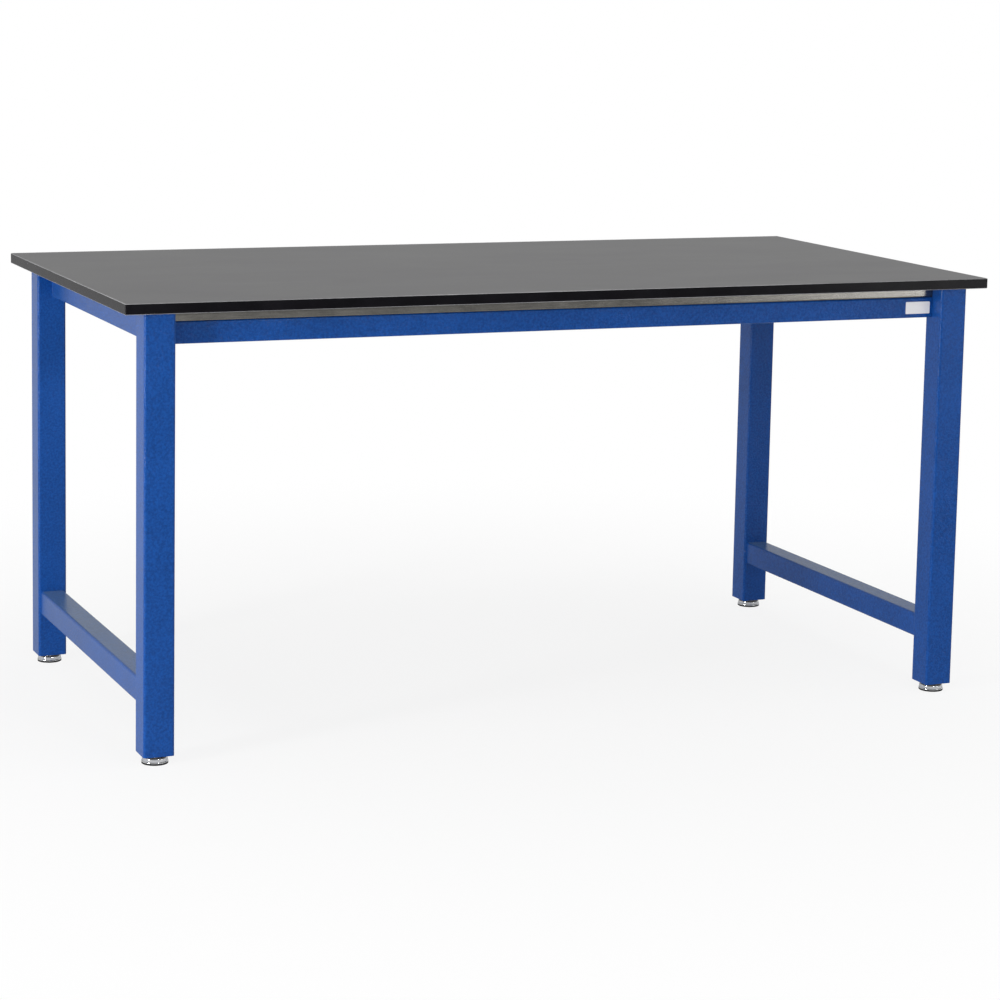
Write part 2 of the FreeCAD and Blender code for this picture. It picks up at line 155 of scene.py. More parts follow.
@named
class FastenerSizes(PropertyGroup):
    """Sizes of bolts and screws."""
    bolt_radius: length("Shank radius of the bracket bolts", 0.004)
    bolt_flats: length("Width across flats of the bracket bolts", 0.013)
    bolt_flange: length("Radius of the flange under the head", 0.0085)
    bolt_flange_height: length("Height of the flange under the head", 0.0016)
    bolt_head: length("Height of the hex head above its flange", 0.006)
    bolt_first: length("From the bracket's heel to its first bolt", 0.020)
    bolt_pitch: length("Between the two bolts of a bracket leg", 0.020)
    nut_height: length("Height of the bracket nuts", 0.008)
    channel_screw_radius: length("Shank radius of the channel screws", 0.0024)
    channel_screw_flats: length("Width across flats of the channel screws", 0.008)
    channel_screw_end: length("From the channel's end to its first screw", 0.060)
    top_screw_radius: length("Shank radius of the worktop screws", 0.003)
    top_screw_flats: length("Width across flats of the worktop screws", 0.010)
    top_screw_end: length("From the channel's end to the first worktop screw", 0.110)
    hole_clearance: length("Added to a shank's radius for its hole", 0.0005)
    screws_per_channel: number("Screws of each kind in a channel", 5)


@named
class GlideSizes(PropertyGroup):
    """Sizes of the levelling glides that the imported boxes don't give."""
    cup_wall: length("Thickness of the pressed cup", 0.0013)
    cup_bead: length("Radius of the rolled bead round the rim", 0.0013)
    cup_shoulder: length("Radius of the cup's shoulder", 0.0035)
    pad_shown: length("Height of the pad below the cup's rim", 0.003)
    pad_edge: length("Rounding of the pad's edges", 0.0006)
    pad_gap: length("Between the pad and the cup's wall", 0.0001)
    stem_radius: length("Outside radius of the thread", 0.005)
    thread_pitch: length("Height of one turn of the thread", 0.0015)
    thread_depth: length("From crest to root", 0.0009)
    foot_radius: length("Swaged foot of the stem", 0.008)
    foot_height: length("Thickness of the swaged foot", 0.0024)
    foot_edge: length("Rounding of the swaged foot and chamfer of the tip", 0.0006)
    collar_flats: length("Width across the collar's flats", 0.017)
    collar_low: length("Height of the collar above the floor", 0.0136)
    collar_height: length("Thickness of the hex collar", 0.0041)
    collar_chamfer: length("Height of the collar's chamfer", 0.0007)


@named
class Finishes(PropertyGroup):
    """Colours of the finishes, each named as its recipe is."""
    powder_coat: colour("Coat of tubes and brackets", (0.0070, 0.0695, 0.308))
    resin: colour("The slab's moulded face", (0.024, 0.0225, 0.027))
    # The machined edges are darker than the top partly by their cut finish and partly as painted
    # shade.
    cut_resin: colour("The slab's machined edges", (0.0050, 0.0046, 0.0064))
    # The chamfers' pale colour is a painted highlight where they catch the light.
    rubbed_resin: colour("The slab's pale chamfers", (0.30, 0.30, 0.31))
    mill_steel: colour("Mill finish of the channels", (0.27, 0.262, 0.242))
    chrome: colour("Glide cups", (0.90, 0.91, 0.92))
    zinc: colour("Bolts, screws and stems", (0.56, 0.57, 0.58))
    plate_steel: colour("Foot plates and bushes", (0.30, 0.29, 0.28))
    nylon: colour("Glide pads", (0.010, 0.010, 0.011))
    brass: colour("Inserts in the slab", (0.72, 0.49, 0.20))
    label_film: colour("Bare label", (0.95, 0.94, 0.96))


class Studio(PropertyGroup):
    """The floor, the lamps and the camera."""
    floor: colour("Floor of the studio", (0.86, 0.86, 0.86))
    floor_radius: length("Radius of the floor", 14.0)
    shadow_start: length("Distance at which the floor begins to fade", 0.5)
    shadow_radius: length("Distance at which it has faded to white", 2.4)
    shadow_depth: portion("How much of the paint shows beside the bench", 0.15)
    reflected_depth: portion("The same, as metal and gloss show it", 0.75)
    fill: portion("Strength of the light from all round", 0.42)
    reflected: portion("Strength of the background in metal and gloss", 0.59)
    reflected_room: portion("The same for the room behind the camera", 0.34)
    target: spot("What the lamps are turned to", (0.0, 0.0, 0.5))
    camera_place: spot("Where the camera stands", (-2.25657, -5.38898, 1.49957))
    camera_turn: attitude("The camera's rotation",
                          tuple(math.radians(angle) for angle in (82.1802, -1.0831, -22.7293)))
    camera_lens: lens("Focal length on a 36 mm sensor", 101.324)
    camera_shift: fraction("Vertical shift of the lens", -0.15)


for lamp, (title, place, size, power) in LAMPS.items():
    Studio.__annotations__.update({
        lamp + "_place": spot("Where the " + title + " stands", place),
        lamp + "_size": span("Width and height of the " + title, size),
        lamp + "_power": watts("Power of the " + title, power)})
named(Studio)


# ---- Nodes ----

def feed(node, sockets):
    """Set inputs of a node, each to a value or to the output that feeds it."""
    for name, value in sockets.items():
        if isinstance(value, bpy.types.NodeSocket):
            node.id_data.links.new(value, node.inputs[name])
        else:
            node.inputs[name].default_value = value


def put(tree, kind, sockets=(), **attributes):
    """Add a node with those inputs and attributes."""
    node = tree.nodes.new(kind)
    for name, value in attributes.items():
        setattr(node, name, value)
    feed(node, dict(sockets))
    return node


def position(tree, stretch=(1.0, 1.0, 1.0), turn=(0.0, 0.0, 0.0)):
    """Object coordinates, drawn out along the axes with a low stretch, and turned."""
    place = put(tree, "ShaderNodeTexCoord").outputs["Object"]
    return put(tree, "ShaderNodeMapping",
               {"Vector": place, "Rotation": turn, "Scale": stretch}).outputs["Vector"]


def noise(tree, place, scale, detail=3.0, roughness=0.5, distortion=0.0):
    return put(tree, "ShaderNodeTexNoise",
               {"Vector": place, "Scale": scale, "Detail": detail, "Roughness": roughness,
                "Distortion": distortion}).outputs["Fac"]


def between(tree, factor, low, high, start=0.3, end=0.7, easing="LINEAR"):
    """Map a pattern's start and end to the numbers low and high."""
    return put(tree, "ShaderNodeMapRange",
               {"Value": factor, "From Min": start, "From Max": end, "To Min": low,
                "To Max": high}, interpolation_type=easing).outputs["Result"]


def pattern(tree, *look):
    """A noise spread over the whole range from 0 to 1."""
    return between(tree, noise(tree, *look), 0.0, 1.0)


def combined(tree, operation, first, second):
    return put(tree, "ShaderNodeMath", {0: first, 1: second}, operation=operation).outputs[0]


def weighted(tree, first, *others):
    """Sum of (number, weight) pairs."""
    part = combined(tree, "MULTIPLY", *first)
    return combined(tree, "ADD", part, weighted(tree, *others)) if others else part


def shade(base, amounts):
    """A colour made lighter or darker by a factor for each of its channels."""
    return (*(min(1.0, channel * amount) for channel, amount in zip(base, amounts)), 1.0)


def tint(tree, factor, base, low, high):
    """A colour that goes from its shade low to its shade high with a factor from 0 to 1."""
    low_socket, high_socket, result = 6, 7, 2
    first, second = (shade(base, (amount,) * 3 if isinstance(amount, float) else amount)
                     for amount in (low, high))
    return put(tree, "ShaderNodeMix", {"Factor": factor, low_socket: first, high_socket: second},
               data_type="RGBA").outputs[result]


def relief(tree, height, depth):
    return put(tree, "ShaderNodeBump", {"Height": height, "Distance": depth}).outputs["Normal"]


# ---- Finishes: what each socket of the shader gets ----

def powder_coat(tree, base):
    """Glossy coat with orange peel, a slight cloudiness and a few scuffs."""
    place = position(tree)
    cloud = pattern(tree, place, 7.0, 4.0)
    grain = between(tree, noise(tree, place, 230.0, 3.0, 0.6), 0.0, 1.0, 0.36, 0.64)
    gloss = between(tree, cloud, 0.15, 0.21, 0.0, 1.0)
    wear = noise(tree, position(tree, (1.0, 1.0, 0.25)), 60.0, 5.0, 0.7)
    peel = weighted(tree, (noise(tree, place, 330.0, 2.0, 0.55), 1.0), (grain, 0.25))
    return {
        "Specular IOR Level": 0.20, "Sheen Weight": 0.17, "Sheen Roughness": 0.35,
        "Sheen Tint": (0.70, 1.0, 1.0, 1.0),
        "Base Color": tint(tree, weighted(tree, (cloud, 0.3), (grain, 0.7)), base, 0.73, 1.27),
        "Roughness": combined(tree, "ADD", gloss, between(tree, wear, 0.0, 0.06, 0.60, 0.78)),
        "Normal": relief(tree, peel, 0.0005)}


def resin(tree, base):
    """The slab's moulded face: satin black with cloudy wipe marks and a few long faint scuffs."""
    place = position(tree)
    cloud = noise(tree, place, 2.3, 6.0, 0.6, 0.8)
    mottle = between(tree, cloud, 0.0, 1.0, 0.35, 0.68)
    satin = between(tree, cloud, 0.285, 0.31, 0.35, 0.65)
    wipe = noise(tree, position(tree, (0.4, 1.0, 1.0)), 9.0, 5.0, 0.6, 0.5)
    rubs = noise(tree, position(tree, (0.16, 1.0, 1.0), (0.0, 0.0, 0.9)), 13.0, 3.0, 0.5, 0.2)
    scuff = between(tree, rubs, 0.0, 1.0, 0.70, 0.80)
    return {
        "Specular IOR Level": 0.54,
        "Base Color": tint(tree, weighted(tree, (mottle, 0.7), (scuff, 0.5)), base, 0.35, 1.9),
        "Roughness": combined(tree, "ADD", satin, between(tree, wipe, 0.0, 0.015)),
        "Normal": relief(tree, noise(tree, place, 45.0, 2.0), 0.00002)}


def cut_resin(tree, base):
    """The slab's machined edges, with fine cutter marks along them; their colour is darker than the
    top's, partly by the cut finish and partly as painted shade.
    """
    cloud = noise(tree, position(tree), 14.0, 4.0, 0.6)
    satin = between(tree, cloud, 0.17, 0.23)
    marks = noise(tree, position(tree, (1.0, 1.0, 26.0)), 30.0, 3.0, 0.6)
    return {
        "Specular IOR Level": 0.10,
        "Base Color": tint(tree, between(tree, cloud, 0.0, 1.0), base, 0.7, 1.3),
        "Roughness": combined(tree, "ADD", satin, between(tree, marks, 0.0, 0.035)),
        "Normal": relief(tree, marks, 0.00003)}


def rubbed_resin(tree, base):
    """The slab's chamfers, painted pale in patches as a highlight where they catch the light."""
    place = position(tree)
    patch = weighted(tree, (pattern(tree, place, 5.0, 4.0, 0.6), 0.6),
                     (pattern(tree, place, 120.0, 4.0, 0.65), 0.4))
    return {
        "Base Color": tint(tree, patch, base, 0.45, 1.35),
        "Roughness": between(tree, patch, 0.40, 0.28, 0.0, 1.0),
        "Normal": relief(tree, noise(tree, place, 900.0, 2.0), 0.00003)}


def mill_steel(tree, base):
    """Bare rolled strip: streaks along the bench, dull patches and a speckled scale."""
    streak = pattern(tree, position(tree, (0.02, 1.0, 1.0)), 700.0, 3.0, 0.6)
    patch = pattern(tree, position(tree, (0.5, 1.0, 1.0)), 34.0, 5.0, 0.65, 0.4)
    speck = pattern(tree, position(tree), 380.0, 4.0, 0.7)
    mottle = weighted(tree, (streak, 0.35), (patch, 0.3), (speck, 0.35))
    dull = between(tree, patch, 0.16, 0.24, 0.0, 1.0)
    return {
        "Metallic": 1.0,
        "Base Color": tint(tree, mottle, base, 0.55, 1.4),
        "Roughness": weighted(tree, (dull, 1.0), (speck, 0.03)),
        "Normal": relief(tree, combined(tree, "ADD", streak, speck), 0.00002)}


def chrome(tree, base):
    """Bright plating with faint handling marks and the pressing's slight waviness."""
    smudge = noise(tree, position(tree), 160.0, 5.0, 0.65, 0.5)
    wave = noise(tree, position(tree, (1.0, 1.0, 0.4)), 150.0, 2.0)
    return {
        "Metallic": 1.0,
        "Base Color": tint(tree, between(tree, smudge, 0.0, 1.0), base, 0.90, 1.0),
        "Roughness": between(tree, smudge, 0.16, 0.07),
        "Normal": relief(tree, wave, 0.000015)}


def zinc(tree, base):
    """Dull zinc plating with a faint blue and straw bloom."""
    place = position(tree)
    blue, straw = (0.90, 0.94, 1.02), (1.06, 1.02, 0.86)
    return {
        "Metallic": 1.0,
        "Base Color": tint(tree, pattern(tree, place, 180.0, 4.0, 0.6), base, blue, straw),
        "Roughness": between(tree, noise(tree, place, 900.0, 3.0), 0.28, 0.46),
        "Normal": relief(tree, noise(tree, place, 2200.0, 2.0), 0.00002)}


def plate_steel(tree, base):
    """Scaled plate, darkened by the oven."""
    place = position(tree)
    scale = pattern(tree, place, 120.0, 6.0, 0.7, 0.6)
    return {
        "Metallic": 0.85,
        "Base Color": tint(tree, scale, base, 0.55, 1.25),
        "Roughness": between(tree, noise(tree, place, 600.0, 3.0), 0.45, 0.68),
        "Normal": relief(tree, scale, 0.00004)}


def nylon(tree, base):
    """Moulded black nylon with a fine spark-eroded grain."""
    place = position(tree)
    flow = pattern(tree, place, 90.0, 4.0, 0.6, 0.8)
    return {
        "Specular IOR Level": 0.22,
        "Base Color": tint(tree, flow, base, 0.8, 1.5),
        "Roughness": between(tree, flow, 0.46, 0.60, 0.0, 1.0),
        "Normal": relief(tree, noise(tree, place, 2600.0, 2.0), 0.00003)}


def brass(tree, base):
    """Turned brass with rings round its own upright axis."""
    rings = noise(tree, position(tree, (0.05, 0.05, 1.0)), 3200.0, 2.0)
    return {
        "Metallic": 1.0,
        "Base Color": tint(tree, pattern(tree, position(tree), 300.0, 3.0), base, 0.82, 1.06),
        "Roughness": between(tree, rings, 0.28, 0.38),
        "Normal": relief(tree, rings, 0.00002)}


def label_film(tree, base):
    """White film with a soft gloss and a slight waviness over the coat."""
    place = position(tree)
    return {
        "Base Color": tint(tree, pattern(tree, place, 1300.0, 3.0), base, 0.965, 1.02),
        "Roughness": between(tree, noise(tree, place, 60.0, 3.0), 0.28, 0.34),
        "Normal": relief(tree, noise(tree, place, 240.0, 2.0), 0.00004)}


RECIPES = {recipe.__name__: recipe for recipe in
           (powder_coat, resin, cut_resin, rubbed_resin, mill_steel, chrome, zinc, plate_steel,
            nylon, brass, label_film)}


def finish(name):
    """The finish of that name, made on first use."""
    made = bpy.data.materials.get(OWN_MATERIAL + name)
    if not made:
        made = bpy.data.materials.new(OWN_MATERIAL + name)
        made.use_nodes = True
        base = getattr(bpy.context.scene.bench_finishes, name)
        feed(made.node_tree.nodes["Principled BSDF"], RECIPES[name](made.node_tree, base))
    return made


# ---- Shapes ----

def mesh_of(bm, name):
    """Turn a bmesh into a mesh, and free it."""
    mesh = bpy.data.meshes.new(name)
    bm.to_mesh(mesh)
    bm.free()
    return mesh


def linked(name, data):
    """A new object in the scene."""
    made = bpy.data.objects.new(name, data)
    bpy.context.scene.collection.objects.link(made)
    return made


def piece(name, bm, material, body="frame", replaces=(), sharp=CREASE):
    """Turn a bmesh into a piece that rides on a body and stands for CAD nodes."""
    bmesh.ops.remove_doubles(bm, verts=bm.verts, dist=WELD_TOLERANCE)
    bmesh.ops.recalc_face_normals(bm, faces=bm.faces)
    made = linked(name, mesh_of(bm, name))
    made.data.materials.append(finish(material))
    smooth(made, sharp)
    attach(made, body)
    if replaces:
        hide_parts(*replaces)
    return made


def coated(name, bm, replaces=(), sharp=CREASE):
    return piece(name, bm, "powder_coat", replaces=replaces, sharp=sharp)


def smooth(made, sharp=CREASE):
    """Smooth shading with crisp edges, and flat faces kept flat next to rounded ones."""
    made.data.shade_smooth()
    made.data.set_sharp_from_angle(angle=math.radians(sharp))
    if "Flat faces" not in made.modifiers:
        weighted_normals = made.modifiers.new("Flat faces", "WEIGHTED_NORMAL")
        weighted_normals.keep_sharp = True


def bevel(bm, geom, offset, segments, affect="EDGES"):
    bmesh.ops.bevel(bm, geom=geom, offset=offset, offset_type="OFFSET", affect=affect,
                    segments=segments, profile=0.5, material=-1)


def rounded_sheet(size_x, size_y, radius, steps):
    """One flat face with rounded corners, centred on the origin."""
    bm = bmesh.new()
    bmesh.ops.create_grid(bm, x_segments=1, y_segments=1, size=0.5)
    bmesh.ops.scale(bm, vec=(size_x, size_y, 1.0), verts=bm.verts)
    bevel(bm, bm.verts[:], radius, steps, "VERTICES")
    return bm


def shift_new(bm, grown, way):
    """Move the vertices that an extrusion has made."""
    fresh = [item for item in grown["geom"] if isinstance(item, bmesh.types.BMVert)]
    bmesh.ops.translate(bm, vec=way, verts=fresh)


def thicken(bm, height):
    """Extrude every face of a flat bmesh upwards into a closed solid."""
    grown = bmesh.ops.extrude_face_region(bm, geom=bm.faces[:], use_keep_orig=True)
    shift_new(bm, grown, (0.0, 0.0, height))


def tube(node, turn, radius, sizes):
    """A rounded tube that fills the node's box along the turned Z axis."""
    low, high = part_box(node)
    size = turn.transposed() @ (high - low)
    bm = rounded_sheet(size.x, size.y, radius, sizes.corner_steps)
    bmesh.ops.inset_region(bm, faces=bm.faces[:], thickness=sizes.tube_wall,
                           use_even_offset=True, use_boundary=True)
    core = max(bm.faces, key=lambda face: len(face.verts))
    bmesh.ops.delete(bm, geom=[core], context="FACES_ONLY")
    thicken(bm, size.z)
    moved(bm, (0.0, 0.0, -size.z / 2))
    return moved(bm, (low + high) / 2, turn.to_4x4())


def coated_tube(node, turn, radius, sizes):
    return coated("tube_" + node, tube(node, turn, radius, sizes), replaces=(node,))


def folded(outline, draw, bend):
    """The outer face of a strip folded along (x, y, z) points and drawn out by a vector."""
    bm = bmesh.new()
    spots = [bm.verts.new(point) for point in outline]
    for ends in zip(spots, spots[1:]):
        bm.edges.new(ends)
    grown = bmesh.ops.extrude_edge_only(bm, edges=bm.edges[:])
    shift_new(bm, grown, draw)
    folds = [edge for edge in bm.edges if len(edge.link_faces) == 2]
    bevel(bm, folds, bend, FOLD_STEPS)
    bmesh.ops.recalc_face_normals(bm, faces=bm.faces)
    return bm


def facing(way):
    """The turn that brings +Z to a direction."""
    return UP.rotation_difference(Vector(way)).to_matrix().to_4x4()


def holes(made, points, radius, axis, depth):
    """Cut round holes through a piece, centred on points along axis."""
    bm = bmesh.new()
    for point in points:
        bmesh.ops.create_cone(bm, cap_ends=True, segments=DRILL_STEPS, radius1=radius,
                              radius2=radius, depth=depth,
                              matrix=Matrix.Translation(point) @ facing(axis))
    drill = linked("drill", mesh_of(bm, "drill"))
    cut = made.modifiers.new("Holes", "BOOLEAN")
    cut.object = drill
    cut.operation = "DIFFERENCE"
    cut.solver = "EXACT"
    bake(made)
    bpy.data.batch_remove((drill, drill.data))


def evaluated(made):
    """A new mesh of an object with its modifiers or its bevel applied."""
    bpy.context.view_layer.update()
    shape = made.evaluated_get(bpy.context.evaluated_depsgraph_get())
    return bpy.data.meshes.new_from_object(shape)


def bake(made):
    """Apply all of a piece's modifiers."""
    old, made.data = made.data, evaluated(made)
    made.modifiers.clear()
    made.data.name = made.name
    bpy.data.meshes.remove(old)
    if not made.data.polygons:
        raise RuntimeError(made.name + " has lost its faces")


def inwards(made, wall, middle):
    """Give a folded strip its wall, laid on the side that faces the middle of its fold."""
    made.modifiers.clear()
    walled = made.modifiers.new("Wall", "SOLIDIFY")
    walled.thickness = wall
    walled.use_even_offset = True
    widest = max(made.data.polygons, key=lambda face: face.area)
    faces_out = widest.normal.dot(widest.center - middle) > 0
    walled.offset = -1.0 if faces_out else 1.0
    bake(made)


def spun(outline, steps):
    """A solid of revolution about Z of (radius, height) points.

    An outline that starts on the axis ends there too. Any other is closed into a ring.
    """
    bm = bmesh.new()
    spots = [bm.verts.new((radius, 0.0, height)) for radius, height in outline]
    if outline[0][0] > 0.0:
        spots.append(spots[0])
    for ends in zip(spots, spots[1:]):
        bm.edges.new(ends)
    bmesh.ops.spin(bm, geom=bm.verts[:] + bm.edges[:], cent=ORIGIN, axis=UP,
                   angle=math.tau, steps=steps, use_merge=True)
    bmesh.ops.remove_doubles(bm, verts=bm.verts, dist=WELD_TOLERANCE)
    bmesh.ops.recalc_face_normals(bm, faces=bm.faces)
    return bm


def round_rings(bm, spots, offset, steps):
    """Bevel the rings of a spun solid that pass through (radius, height) points."""
    rings = [edge for edge in bm.edges if any(
        all(math.dist((vert.co.xy.length, vert.co.z), spot) < RING_TOLERANCE for vert in edge.verts)
        for spot in spots)]
    if not rings:
        raise RuntimeError("no ring to round")
    bevel(bm, rings, offset, steps)


def moved(bm, place, turn=UNTURNED):
    bmesh.ops.transform(bm, matrix=Matrix.Translation(place) @ turn, verts=bm.verts)
    return bm


def join(target, part, places=(UNTURNED,)):
    """Add a bmesh to another one, once at each of the places, and free it."""
    for place in places:
        mesh = bpy.data.meshes.new("part")
        part.to_mesh(mesh)
        mesh.transform(place)
        target.from_mesh(mesh)
        bpy.data.meshes.remove(mesh)
    part.free()


def hex_blank(flats, height, chamfer):
    """A hexagon on the origin, cut from a turned blank, so that its chamfered corners curve."""
    reach = flats / math.sqrt(3.0)
    bm = spun([(0.0, 0.0), (reach, 0.0), (reach, height - chamfer), (flats * HEX_CROWN, height),
               (0.0, height)], HEX_STEPS)
    for side in range(6):
        angle = math.tau * side / 6
        away = Vector((math.cos(angle), math.sin(angle), 0.0))
        bmesh.ops.bisect_plane(bm, geom=bm.verts[:] + bm.edges[:] + bm.faces[:],
                               dist=LEVEL_TOLERANCE, plane_co=away * flats / 2, plane_no=away,
                               clear_outer=True)
        close_ends(bm)
    bmesh.ops.dissolve_limit(bm, angle_limit=math.radians(HEX_COPLANAR), verts=bm.verts,
                             edges=bm.edges)
    return bm


def close_ends(bm):
    bmesh.ops.holes_fill(bm, edges=[edge for edge in bm.edges if edge.is_boundary])


def dressed(nodes, material):
    """Give CAD nodes that keep their shape a finish in each of their slots."""
    for name in nodes:
        data = frame["nodes"][name].data
        if not data.materials:
            data.materials.append(None)
        for index in range(len(data.materials)):
            data.materials[index] = finish(material)


def screw_points(screws, depths, end_distance, height):
    """The screws along the middle of one or more channels, at a height."""
    points = []
    for low, high in (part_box("channel_" + depth) for depth in depths):
        step = (high.x - low.x - 2 * end_distance) / (screws.screws_per_channel - 1)
        points += [Vector((low.x + end_distance + step * index, (low.y + high.y) / 2, height))
                   for index in range(screws.screws_per_channel)]
    return points


def bracket_ends(corner):
    """The corner of a bracket's box at its heel and low, and the one at its tips and high."""
    heel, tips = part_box("corner_bracket_" + corner)
    if "right" in corner:
        heel.x, tips.x = tips.x, heel.x
    if "rear" in corner:
        heel.y, tips.y = tips.y, heel.y
    return heel, tips


def bolts_on(screws, corner, member):
    """Bolt axes on the inner face of a stringer or an end rail, and the way their heads point."""
    heel, tips = bracket_ends(corner)
    along = Vector((math.copysign(1.0, tips.x - heel.x), 0.0, 0.0))
    way = Vector((0.0, math.copysign(1.0, tips.y - heel.y), 0.0))
    if member == "end_rail":
        along, way = way, along
    heel.z = (heel.z + tips.z) / 2
    reaches = (screws.bolt_first, screws.bolt_first + screws.bolt_pitch)
    return [heel + along * reach for reach in reaches], way


def bolt_holes(screws, made, corners, member, wall):
    """Drill a piece at each of the corners for the bolts on a stringer or an end rail."""
    points = [point for corner in corners for point in bolts_on(screws, corner, member)[0]]
    axis = (1, 0, 0) if member == "end_rail" else (0, 1, 0)
    holes(made, points, screws.bolt_radius + screws.hole_clearance, axis, wall * DRILL_WALLS)


# ---- Operators ----

class LABBENCH_OT_worktop(Operator):
    """Make the resin slab with its machined edges and the holes for its inserts"""
    bl_idname = "lab_bench.worktop"
    bl_label = "Worktop"

    SHARP = 60.0            # degrees, so that the arris shades smooth
    OVERCUT = 0.001         # of the holes, past the inserts
    UPRIGHT_LIFT = 0.5      # a face whose normal rises less than this is the slab's edge
    CHAMFER_LIFT = 0.95     # and one that rises less than this is its chamfer

    def execute(self, context):
        sizes = context.scene.bench_frame
        low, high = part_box("worktop")
        size = high - low
        bm = rounded_sheet(size.x, size.y, sizes.slab_corner, FOLD_STEPS)
        thicken(bm, size.z)
        moved(bm, ((low.x + high.x) / 2, (low.y + high.y) / 2, low.z))
        rims = [edge for edge in bm.edges
                if abs(edge.verts[0].co.z - edge.verts[1].co.z) < LEVEL_TOLERANCE]
        bevel(bm, rims, sizes.slab_chamfer, segments=1)
        bmesh.ops.recalc_face_normals(bm, faces=bm.faces)
        creases = [edge for edge in bm.edges if len(edge.link_faces) == 2
                   and edge.calc_face_angle() > math.radians(CREASE)]
        bevel(bm, creases, sizes.arris, segments=2)
        slab = piece("worktop_slab", bm, "resin", replaces=("worktop",), sharp=self.SHARP)
        self.insert_holes(context.scene.bench_fasteners, slab, low.z)
        # The upright edges get a colour darkened partly as painted shade.
        slab.data.materials.append(finish("cut_resin"))
        # The chamfers get a pale colour that is a painted highlight line.
        slab.data.materials.append(finish("rubbed_resin"))
        for face in slab.data.polygons:
            lift = abs(face.normal.z)
            face.material_index = (1 if lift < self.UPRIGHT_LIFT else
                                   2 if lift < self.CHAMFER_LIFT else 0)
        smooth(slab, self.SHARP)
        return {"FINISHED"}

    def insert_holes(self, screws, slab, underside):
        points = screw_points(screws, DEPTHS, screws.top_screw_end, underside)
        low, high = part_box("worktop_inserts")
        radius = (high.y - low.y) / 2 - abs(points[0].y)
        holes(slab, points, radius, UP, 2 * (high.z - low.z + self.OVERCUT))


class LABBENCH_OT_end_frames(Operator):
    """Make the legs, stretchers and end rails as rounded square tubes"""
    bl_idname = "lab_bench.end_frames"
    bl_label = "End frames"

    def execute(self, context):
        sizes = context.scene.bench_frame
        for corner in CORNERS:
            coated_tube("leg_" + corner, UPRIGHT, sizes.leg_radius, sizes)
        for side in SIDES:
            coated_tube("stretcher_" + side, ALONG_Y, sizes.stretcher_radius, sizes)
            rail = coated_tube("end_rail_" + side, ALONG_Y, sizes.rail_radius, sizes)
            corners = [depth + "_" + side for depth in DEPTHS]
            bolt_holes(context.scene.bench_fasteners, rail, corners, "end_rail", sizes.tube_wall)
            smooth(rail)
        return {"FINISHED"}


class LABBENCH_OT_weld_beads(Operator):
    """Lay rippled beads round the joints of the end frames"""
    bl_idname = "lab_bench.weld_beads"
    bl_label = "Weld beads"

    STRAIGHT = 4            # ripples: an edge longer than this many is divided into ripples
    VALLEY = 0.88           # of the bead's radius, between two ripples

    def execute(self, context):
        sizes = context.scene.bench_frame
        for side in SIDES:
            bm = bmesh.new()
            for node, radius in (("stretcher_" + side, sizes.stretcher_radius),
                                 ("end_rail_" + side, sizes.rail_radius)):
                low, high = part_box(node)
                for y in (low.y, high.y):
                    self.bead(bm, low, high, y, radius, sizes)
            coated("weld_beads_" + side, bm, sharp=80.0)
        return {"FINISHED"}

    def bead(self, target, low, high, y, radius, sizes):
        """One bead round a tube where it meets a leg at y, up to the slab's underside."""
        sheet = rounded_sheet(high.x - low.x, high.z - low.z, radius, sizes.corner_steps)
        straight = self.STRAIGHT * sizes.weld_ripple
        for edge in [edge for edge in sheet.edges if edge.calc_length() > straight]:
            cuts = int(edge.calc_length() / (sizes.weld_ripple / 2)) // 2 * 2
            bmesh.ops.subdivide_edges(sheet, edges=[edge], cuts=cuts)
        middle = Vector(((low.x + high.x) / 2, y, (low.z + high.z) / 2))
        points = [middle + Vector((corner.vert.co.x, 0.0, corner.vert.co.y))
                  for corner in sheet.faces[:][0].loops]
        sheet.free()
        line = bpy.data.curves.new("bead", "CURVE")
        line.dimensions = "3D"
        line.bevel_depth = sizes.weld_bead
        line.bevel_resolution = 2
        spline = line.splines.new("POLY")
        spline.points.add(len(points) - 1)
        spline.use_cyclic_u = True
        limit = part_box("worktop")[0].z - sizes.weld_bead
        for index, (knot, point) in enumerate(zip(spline.points, points)):
            knot.co = (point.x, point.y, min(point.z, limit), 1.0)
            knot.radius = 1.0 if index % 2 else self.VALLEY
        holder = linked("bead", line)
        mesh = evaluated(holder)
        target.from_mesh(mesh)
        bpy.data.batch_remove((holder, line, mesh))


class LABBENCH_OT_stringers(Operator):
    """Make the long coated tubes under the slab"""
    bl_idname = "lab_bench.stringers"
    bl_label = "Stringers"

    def execute(self, context):
        sizes = context.scene.bench_frame
        screws = context.scene.bench_fasteners
        for depth in DEPTHS:
            node = "stringer_" + depth
            stringer = coated_tube(node, ALONG_X, sizes.stringer_radius, sizes)
            corners = [depth + "_" + side for side in SIDES]
            bolt_holes(screws, stringer, corners, "stringer", sizes.tube_wall)
            points = screw_points(screws, [depth], screws.channel_screw_end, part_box(node)[1].z)
            holes(stringer, points, screws.channel_screw_radius, UP,
                  sizes.tube_wall * DRILL_WALLS)
            smooth(stringer)
        return {"FINISHED"}


